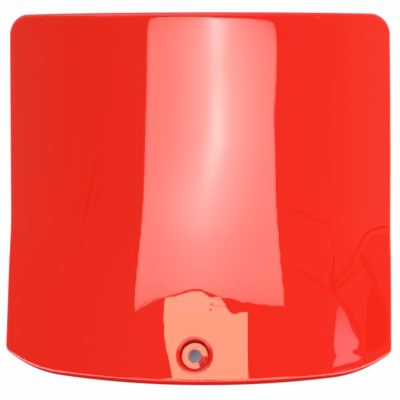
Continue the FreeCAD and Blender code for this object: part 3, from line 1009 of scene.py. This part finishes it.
# the window bars' and fittings' small dark marks, in front of the bright cards
for i, mark in enumerate((
    [(210, 305.0), (214, 305.3), (220, 305.9), (226.5, 306.2), (226.5, 307.0), (219, 306.5), (214, 305.9), (210, 305.5)],
    [(209.6, 309.4), (211, 309.0), (212, 309.6), (211.6, 310.8), (210.2, 311.0), (209.4, 310.3)],
    [(211, 303.4), (212.8, 303.0), (213.2, 304.2), (212, 304.9), (210.9, 304.5)],
    [(216, 298.4), (219.5, 298.9), (221.6, 299.9), (219, 299.9), (216.4, 299.2)],
    [(171, 297.2), (178, 295.2), (178.4, 295.7), (171.6, 297.9)],
    [(143, 303.0), (150, 300.4), (150.4, 300.9), (144, 303.7)],
    [(152, 299.4), (160, 297.0), (160.4, 297.6), (153, 300.2)],
    [(138, 306.4), (143, 304.8), (143.4, 305.3), (138.6, 307.1)],
)):
    poly_card("mark_%d" % i, mark, dark_glow, step=0.8, plane=CARD_Y + 12.0)

# a small lamp far to the right
small = [(339, 305), (342, 308), (345, 312), (349, 322), (352, 330), (356, 337), (359, 342), (357.5, 348), (352, 351), (354, 354), (362, 357.5),
         (358, 361), (350, 363), (340, 365.5), (333, 367.5), (334, 362), (337, 357), (335, 351), (334, 345), (335, 330), (336, 320), (337, 312)]


def small_glow(px, py):
    v = 1.6 + 1.6 * smooth(py, 306, 345)
    return np.stack([v, v * 0.96, v * 1.02], -1)


poly_card("side_lamp", small, small_glow, sphere=2500.0)

# fainter dark things in the room, seen at the panel's two sides


def ribbon(path, width):
    """A narrow closed strip along a path; width may be one number or one per point."""
    path = np.array(path, float)
    w_ = np.full(len(path), width) if np.isscalar(width) else np.array(width, float)
    t_ = np.gradient(path, axis=0)
    n_ = np.stack([-t_[:, 1], t_[:, 0]], -1) / np.linalg.norm(t_, axis=1)[:, None]
    return np.concatenate([path + n_ * w_[:, None] / 2, (path - n_ * w_[:, None] / 2)[::-1]])


def shade_of(level, tint=(1.0, 0.97, 0.88)):
    return lambda px, py: np.tile(np.array([tint]) * level, (len(px), 1))


FAINT = (
    (ribbon([(279, 211), (288, 210), (296, 211), (304, 214), (312, 218), (320, 220.5), (327, 221.5), (331, 227), (333, 236), (333.6, 248)], [1.2, 1.5, 1.6, 1.8, 1.7, 1.5, 1.2, 1.0, 0.9, 0.9]), 0.06, 0.0),
    (ribbon([(333.6, 248), (333.8, 260), (333.2, 270), (331.8, 280), (330.5, 288)], [0.9, 1.4, 2.2, 3.4, 4.4]), 0.10, 0.0),
    (ribbon([(331, 288), (340, 277), (349, 266), (356, 252), (363, 238), (371, 230), (380, 227.5), (387.4, 227)], [5.0, 3.2, 2.6, 2.6, 3.4, 3.2, 3.0, 3.0]), 0.14, 0.0),
    (ribbon([(333, 291), (343, 284), (352, 276), (359, 266), (366, 257.5), (376, 254.5), (387.4, 255)], [4.6, 3.0, 2.6, 2.4, 2.0, 1.6, 1.4]), 0.12, 0.0),
    ([(345, 279), (352, 272), (358, 258), (364, 244), (371, 236), (380, 233), (387.4, 233), (387.4, 252), (377, 252.5), (366, 255.5), (358.5, 264), (351, 274)], 0.34, 25.0),
    ([(366.5, 352), (365, 338), (365.5, 322), (367, 306), (370, 292), (374, 284), (378.5, 286), (382.5, 294), (386, 306), (387.6, 322), (387.8, 338), (384.5, 344), (376, 350)], 0.17, 0.0),
    (ribbon([(334, 294), (342, 301), (350, 312), (356, 325), (360, 338), (362, 346)], [2.5, 3.4, 4.0, 3.8, 3.0, 2.0]), 0.21, 0.0),
    (ribbon([(291, 265), (300, 269), (311, 277), (322, 286), (331, 293)], [2.0, 3.0, 3.6, 4.0, 3.0]), 0.20, 0.0),
    (ribbon([(327, 150), (328.5, 165), (328.6, 176), (328.8, 190)], [0.6, 1.2, 1.6, 0.8]), 0.22, 0.0),
    (ribbon([(85, 24), (81, 34), (77, 50), (75, 66), (75.5, 80), (77, 92)], [4.0, 3.4, 3.0, 2.6, 2.4, 1.6]), 0.19, 0.0),
)
for i, (shape, level, back_) in enumerate(FAINT):
    poly_card("faint_%d" % i, shape, shade_of(level), sphere=2470.0 - 3.0 * i + back_, step=1.0)

# a few more dark things close in front, where the far ones would be mirrored twice: the soft box's rounded top corners
# and the marks at the left
NEAR = (
    ([(142, 14.5), (156.5, 14.5), (154.5, 16.2), (151.2, 18.4), (149.2, 20.6), (147.8, 23.5), (147.0, 27), (146.6, 33), (142, 33)], 0.28),
    ([(214, 14.5), (217, 16.6), (240, 18.2), (262, 19.6), (269, 20.5), (272.6, 22.0), (274.6, 24.6), (275.8, 29), (276.6, 36), (277.0, 45), (283, 45), (283, 14.5)], 0.30),
    (ribbon([(96, 154), (94.6, 164), (93.5, 174), (91.5, 186), (88.5, 199), (85.5, 213), (83.6, 223)], [1.2, 2.6, 3.6, 4.4, 4.0, 2.4, 1.4]), 0.14),
    (ribbon([(100, 181), (98.5, 190), (96.5, 199), (94.5, 207)], [1.6, 3.4, 3.4, 2.0]), 0.15),
    (ribbon([(86, 189), (83.8, 195), (81.5, 202)], [1.6, 3.0, 2.0]), 0.16),
)
for i, (shape, level) in enumerate(NEAR):
    poly_card("near_%d" % i, shape, shade_of(level), step=1.0, plane=(-100.0 if i < 2 else -40.0) - 0.4 * i)
for i, (x0_, x1_) in enumerate(((130.0, 156.5), (214.0, 290.0))):
    a_, b_ = mirrored(np.array([x0_, x1_]), np.array([14.5, 14.5]), plane=-100.0)
    q_ = np.array([(a_[0], -100.0, a_[2] - 0.4), (b_[0], -100.0, b_[2] - 0.4), (b_[0], -100.0, 111.5), (a_[0], -100.0, 111.5)])
    card("near_strip_%d" % i, q_, [(0, 1, 2), (0, 2, 3)], np.full((4, 3), 0.29))

# two flags near the rolled edges: the top roll sees no window, the middle of the bottom roll no soft box
for nm_, x0_, x1_, z0_, z1_ in (("flag_top", -190, 190, 111, 183), ("flag_low", -150, 24, -112, -72)):
    q_ = np.array([(x0_, -100.0, z0_), (x1_, -100.0, z0_), (x1_, -100.0, z1_), (x0_, -100.0, z1_)], float)
    card(nm_, q_, [(0, 1, 2), (0, 2, 3)], np.full((4, 3), 0.30))
fx = np.array([-190.0, -90.0, 0.0, 60.0, 190.0])
fz = np.array([183.0, 196.0, 440.0])
q_ = np.array([(x_, -100.0, z_) for z_ in fz for x_ in fx])
lv = np.array([0.3, 1.0, 1.0])[:, None] * np.array([1.2, 1.5, 1.75, 1.0, 0.4])[None, :]
card("flag_high", q_, [t for i in range(2) for j in range(4) for t in ((5 * i + j, 5 * i + j + 1, 5 * i + j + 6), (5 * i + j, 5 * i + j + 6, 5 * i + j + 5))],
     np.stack([lv.ravel(), lv.ravel(), lv.ravel() * 1.08], -1))

# light coming down from the upper part of the same window, for the recess rim
ca, ce = np.meshgrid(np.linspace(-30, 30, 13), np.linspace(43, 66, 6))
q_ = np.stack([sphere_dir(a_, e_) * 2500.0 for a_, e_ in zip(ca.ravel(), ce.ravel())])
t_ = []
for i in range(5):
    for j in range(12):
        o_ = i * 13 + j
        t_ += [(o_, o_ + 1, o_ + 14), (o_, o_ + 14, o_ + 13)]
fade = np.clip(1.25 - np.abs(ca.ravel()) / 30.0, 0.25, 1.0)
card("window_top", q_, t_, np.stack([9.0 * fade, 7.2 * fade, 5.2 * fade], -1))

# the bright table in front, an emitting card that the recess rim and the rolled bottom edge see only in reflection,
# with a painted contact shadow right under the panel
tx, ty = np.meshgrid(np.linspace(-150, 150, 101), np.linspace(0, 1, 60) ** 2 * 92.0)
lip = front(np.clip(tx, -112, 112), np.full(tx.shape, -93.0))
tp = np.stack([tx, lip + 6.0 - ty, np.full(tx.shape, -95.5)], -1).reshape(-1, 3)
n_c = tx.shape[1]
tt = []
for i in range(tx.shape[0] - 1):
    for j in range(n_c - 1):
        a_ = i * n_c + j
        tt += [(a_, a_ + 1, a_ + n_c + 1), (a_, a_ + n_c + 1, a_ + n_c)]
# painted contact shadow: the radiance is low close to the panel and rises with the distance from it
away = ty.ravel() - 6.0 + 0.05 * np.maximum(np.abs(tx.ravel()) - 55, 0) ** 1.35
v_ = 0.10 + 5.2 * smooth(away, 4.0, 16.0) * (1 - smooth(ty.ravel(), 52, 90)) * (1 - smooth(np.abs(tx.ravel()), 118, 148))
card("table", tp, tt, np.stack([v_, v_ * 0.97, v_ * 1.0], -1))

# ------------------------------------------------------------------ surroundings
world = bpy.data.worlds.new("studio")
bpy.context.scene.world = world
world.use_nodes = True
nt = world.node_tree
nt.nodes.clear()
out = node(nt, "ShaderNodeOutputWorld", 900, 0)
lp = node(nt, "ShaderNodeLightPath", 0, 500)
tc = node(nt, "ShaderNodeTexCoord", -1000, 0)
sep = node(nt, "ShaderNodeSeparateXYZ", -800, 0)
nt.links.new(tc.outputs["Generated"], sep.inputs[0])


def ramp_node(x, y, stops):
    r_ = node(nt, "ShaderNodeValToRGB", x, y)
    el = r_.color_ramp.elements
    while len(el) > 1:
        el.remove(el[-1])
    el[0].position, el[0].color = stops[0][0], (*stops[0][1], 1)
    for pos, c_ in stops[1:]:
        e_ = el.new(pos)
        e_.color = (*c_, 1)
    return r_


# what the gloss mirrors: a dim room, a little lighter and warmer far to the right
half = node(nt, "ShaderNodeMath", -600, 200, operation="MULTIPLY_ADD")
half.inputs[1].default_value, half.inputs[2].default_value = 0.5, 0.5
nt.links.new(sep.outputs[0], half.inputs[0])
room = ramp_node(-400, 200, ((0.0, (0.35, 0.35, 0.29)), (0.06, (0.29, 0.29, 0.25)), (0.16, (0.25, 0.25, 0.23)), (0.27, (0.30, 0.30, 0.28)),
                             (0.36, (0.33, 0.33, 0.31)), (0.50, (0.30, 0.30, 0.28)), (0.74, (0.32, 0.32, 0.29)), (0.84, (0.36, 0.35, 0.33)),
                             (0.92, (0.41, 0.39, 0.32)), (0.965, (0.55, 0.51, 0.38)), (0.985, (0.62, 0.58, 0.44)), (1.0, (0.60, 0.56, 0.45))))
nt.links.new(half.outputs[0], room.inputs[0])
high = node(nt, "ShaderNodeMapRange", -600, 420)
high.inputs[1].default_value, high.inputs[2].default_value, high.inputs[4].default_value = 0.66, 0.80, 1.0
nt.links.new(sep.outputs[2], high.inputs[0])
across = ramp_node(-400, 480, ((0.0, (1.6, 1.6, 1.8)), (0.28, (2.4, 2.4, 2.7)), (0.5, (1.7, 1.7, 1.7)), (0.75, (0.6, 0.6, 0.6)), (1.0, (0.3, 0.3, 0.3))))
nt.links.new(half.outputs[0], across.inputs[0])
both = node(nt, "ShaderNodeMixRGB", -100, 300, blend_type="MIX")
nt.links.new(high.outputs[0], both.inputs[0])
nt.links.new(room.outputs[0], both.inputs[1])
nt.links.new(across.outputs[0], both.inputs[2])
behind = node(nt, "ShaderNodeMapRange", -300, 620)
behind.inputs[1].default_value, behind.inputs[2].default_value = 0.03, 0.28
nt.links.new(sep.outputs[1], behind.inputs[0])
room2 = node(nt, "ShaderNodeMixRGB", 0, 420, blend_type="MIX")
nt.links.new(behind.outputs[0], room2.inputs[0])
nt.links.new(both.outputs[0], room2.inputs[1])
room2.inputs[2].default_value = (0.85, 0.85, 0.95, 1)
gl = node(nt, "ShaderNodeBackground", 100, 200)
nt.links.new(room2.outputs[0], gl.inputs["Color"])
# what lights it: soft, mostly from straight ahead and behind, hardly any from below
sq = node(nt, "ShaderNodeMath", -600, -100, operation="MULTIPLY")
nt.links.new(sep.outputs[1], sq.inputs[0])
nt.links.new(sep.outputs[1], sq.inputs[1])
frontal = node(nt, "ShaderNodeMath", -400, -100, operation="MULTIPLY_ADD")
frontal.inputs[1].default_value, frontal.inputs[2].default_value = 1.36, 0.685
nt.links.new(sq.outputs[0], frontal.inputs[0])
sx = node(nt, "ShaderNodeMath", -600, -250, operation="MULTIPLY")
nt.links.new(sep.outputs[0], sx.inputs[0])
nt.links.new(sep.outputs[0], sx.inputs[1])
sides_ = node(nt, "ShaderNodeMath", -400, -250, operation="MULTIPLY_ADD")
sides_.inputs[1].default_value = 0.86
nt.links.new(sx.outputs[0], sides_.inputs[0])
nt.links.new(frontal.outputs[0], sides_.inputs[2])
gate = node(nt, "ShaderNodeMapRange", -400, -400)
gate.inputs[1].default_value, gate.inputs[2].default_value = -0.80, -0.10
gate.inputs[3].default_value, gate.inputs[4].default_value = 0.06, 1.0
nt.links.new(sep.outputs[2], gate.inputs[0])
lean = node(nt, "ShaderNodeMath", -300, -250, operation="MULTIPLY_ADD")
lean.inputs[1].default_value = -0.60
nt.links.new(sep.outputs[2], lean.inputs[0])
nt.links.new(sides_.outputs[0], lean.inputs[2])
low_ = node(nt, "ShaderNodeMath", -200, -300, operation="MULTIPLY")
nt.links.new(lean.outputs[0], low_.inputs[0])
nt.links.new(gate.outputs[0], low_.inputs[1])
df = node(nt, "ShaderNodeBackground", 100, -100)
nt.links.new(low_.outputs[0], df.inputs["Strength"])
white = node(nt, "ShaderNodeBackground", 100, -300)
white.inputs["Color"].default_value = (0.99, 0.99, 0.99, 1)
mix1 = node(nt, "ShaderNodeMixShader", 400, 0)
mix2 = node(nt, "ShaderNodeMixShader", 650, 0)
nt.links.new(lp.outputs["Is Glossy Ray"], mix1.inputs[0])
nt.links.new(df.outputs[0], mix1.inputs[1])
nt.links.new(gl.outputs[0], mix1.inputs[2])
nt.links.new(lp.outputs["Is Camera Ray"], mix2.inputs[0])
nt.links.new(mix1.outputs[0], mix2.inputs[1])
nt.links.new(white.outputs[0], mix2.inputs[2])
nt.links.new(mix2.outputs[0], out.inputs[0])


# a small emitting grey disc behind the screw hole, seen only through it: a painted shadow, darker at the top and
# lighter below
fc, fr = -7.2, 5.2
fa = np.arange(48) * 2 * math.pi / 48
f_pts = [SEAT + AX * fc]
sight = unit(SEAT - cam_pos)
seen = SEAT + sight * (fc / float(sight @ AX))  # where the main camera looks, through the hole
for rr in (0.2, 0.4, 0.6, 0.8, 1.0):
    for an in fa:
        f_pts.append(SEAT + AX * fc + fr * rr * (math.cos(an) * E1 + math.sin(an) * E2))
f_pts = np.array(f_pts)
f_tri = [(0, 1 + k, 1 + (k + 1) % 48) for k in range(48)]
for ring in range(4):
    o = 1 + ring * 48
    for k in range(48):
        k2 = (k + 1) % 48
        f_tri += [(o + k, o + 48 + k, o + 48 + k2), (o + k, o + 48 + k2, o + k2)]
fm = bpy.data.meshes.new("flag")
fm.from_pydata(((f_pts + SHIFT) * 0.001).tolist(), [], f_tri)
at_ = fm.attributes.new("glow", "FLOAT_COLOR", "POINT")
# painted shadow gradient: dark at the top of the view through the hole, lighter towards the bottom
hz = ((f_pts - seen) @ np.array([-0.45, 0.0, 0.89])) / 3.3
g_ = np.interp(hz, (-1, 0.55, 0.9), (1.0, 0.35, 0.0))[:, None]
col = (1 - g_) * np.array([0.085, 0.080, 0.090]) + g_ * np.array([0.275, 0.265, 0.320])
at_.data.foreach_set("color", np.concatenate([col, np.ones((len(col), 1))], 1).astype(np.float32).ravel())
m = bpy.data.materials.new("painted_hole_shadow")
m.use_nodes = True
nt_ = m.node_tree
nt_.nodes.clear()
o_ = node(nt_, "ShaderNodeOutputMaterial", 500, 0)
e_ = node(nt_, "ShaderNodeEmission", 0, 0)
t_ = node(nt_, "ShaderNodeBsdfTransparent", 0, -150)
x_ = node(nt_, "ShaderNodeMixShader", 250, 0)
g_n = node(nt_, "ShaderNodeNewGeometry", -300, 200)
a_n = node(nt_, "ShaderNodeAttribute", -300, -50)
a_n.attribute_name = "glow"
nt_.links.new(a_n.outputs["Color"], e_.inputs["Color"])
nt_.links.new(g_n.outputs["Backfacing"], x_.inputs[0])
nt_.links.new(e_.outputs[0], x_.inputs[1])
nt_.links.new(t_.outputs[0], x_.inputs[2])
nt_.links.new(x_.outputs[0], o_.inputs[0])
fm.materials.append(m)
fo = bpy.data.objects.new("flag", fm)
bpy.context.scene.collection.objects.link(fo)
fo.visible_diffuse = False
fo.visible_glossy = False
fo.visible_shadow = False
fo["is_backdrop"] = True


def lamp(name, azimuth, elevation, dist, size, power, color=(1, 1, 1)):
    l = bpy.data.lights.new(name, "AREA")
    l.shape = "RECTANGLE"
    l.size, l.size_y = size
    l.energy = power
    l.color = color
    ob = bpy.data.objects.new(name, l)
    bpy.context.scene.collection.objects.link(ob)
    p_ = (sphere_dir(azimuth, elevation) * dist + SHIFT) * 0.001
    ob.location = p_
    target = Vector(SHIFT * 0.001)
    ob.rotation_euler = (target - Vector(p_)).to_track_quat("-Z", "Y").to_euler()
    ob.visible_camera = False
    ob.visible_glossy = False
    ob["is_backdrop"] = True
    return ob


lamp("key", 62, 18, 1600, (1.0, 1.0), 5.4)

sc = bpy.context.scene
sc.view_settings.view_transform = "Standard"
sc.view_settings.look = "None"

size_at_end = plain(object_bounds())
